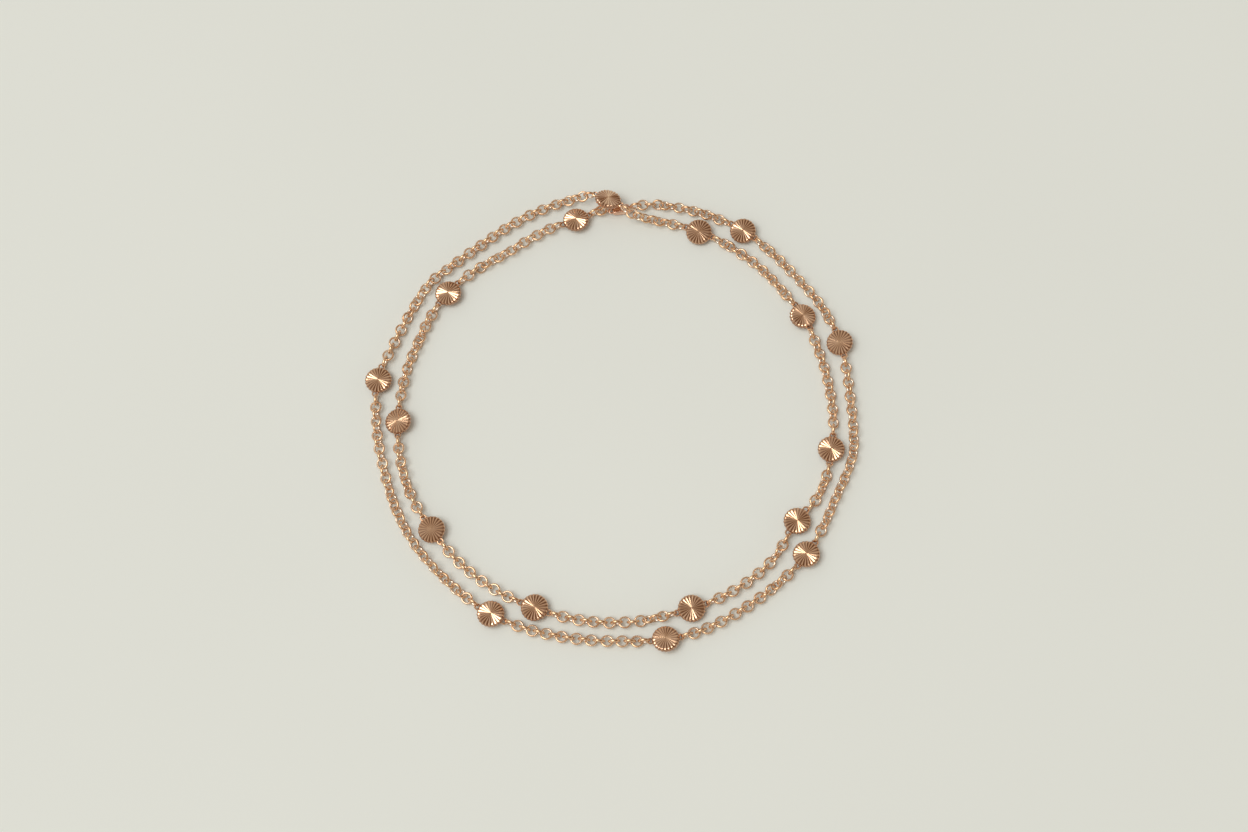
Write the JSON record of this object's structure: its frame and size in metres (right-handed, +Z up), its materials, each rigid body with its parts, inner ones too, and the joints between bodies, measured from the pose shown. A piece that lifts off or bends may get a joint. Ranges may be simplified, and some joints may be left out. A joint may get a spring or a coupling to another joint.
{
  "type": "chain bracelet",
  "caption": "Fine link chain bracelet lying in concentric laps, with fluted round disc stations and a small plain clasp.",
  "frame": {"origin": "middle of the bracelet's box, on the surface that it lies on", "axes": "+Z up out of the surface, +Y towards the clasp at the back, +X to the right of the picture"},
  "size_m": [0.0652, 0.0646, 0.0032],
  "materials": {
    "disc_gold": "bright cut, polished",
    "chain_gold": "polished wire links",
    "clasp_gold": "plain polished"
  },
  "bodies": {
    "root": {"chain_01": "chain_gold", "chain_02": "chain_gold", "chain_03": "chain_gold", "chain_04": "chain_gold", "chain_05": "chain_gold", "chain_06": "chain_gold", "chain_07": "chain_gold", "chain_08": "chain_gold", "chain_09": "chain_gold", "chain_10": "chain_gold", "chain_11": "chain_gold", "chain_12": "chain_gold", "chain_13": "chain_gold", "chain_14": "chain_gold", "chain_15": "chain_gold", "chain_16": "chain_gold", "chain_17": "chain_gold", "chain_18": "chain_gold", "clasp": "clasp_gold", "disc_01": "disc_gold", "disc_02": "disc_gold", "disc_03": "disc_gold", "disc_04": "disc_gold", "disc_05": "disc_gold", "disc_06": "disc_gold", "disc_07": "disc_gold", "disc_08": "disc_gold", "disc_09": "disc_gold", "disc_10": "disc_gold", "disc_11": "disc_gold", "disc_12": "disc_gold", "disc_13": "disc_gold", "disc_14": "disc_gold", "disc_15": "disc_gold", "disc_16": "disc_gold", "disc_17": "disc_gold"}
  },
  "joints": []
}
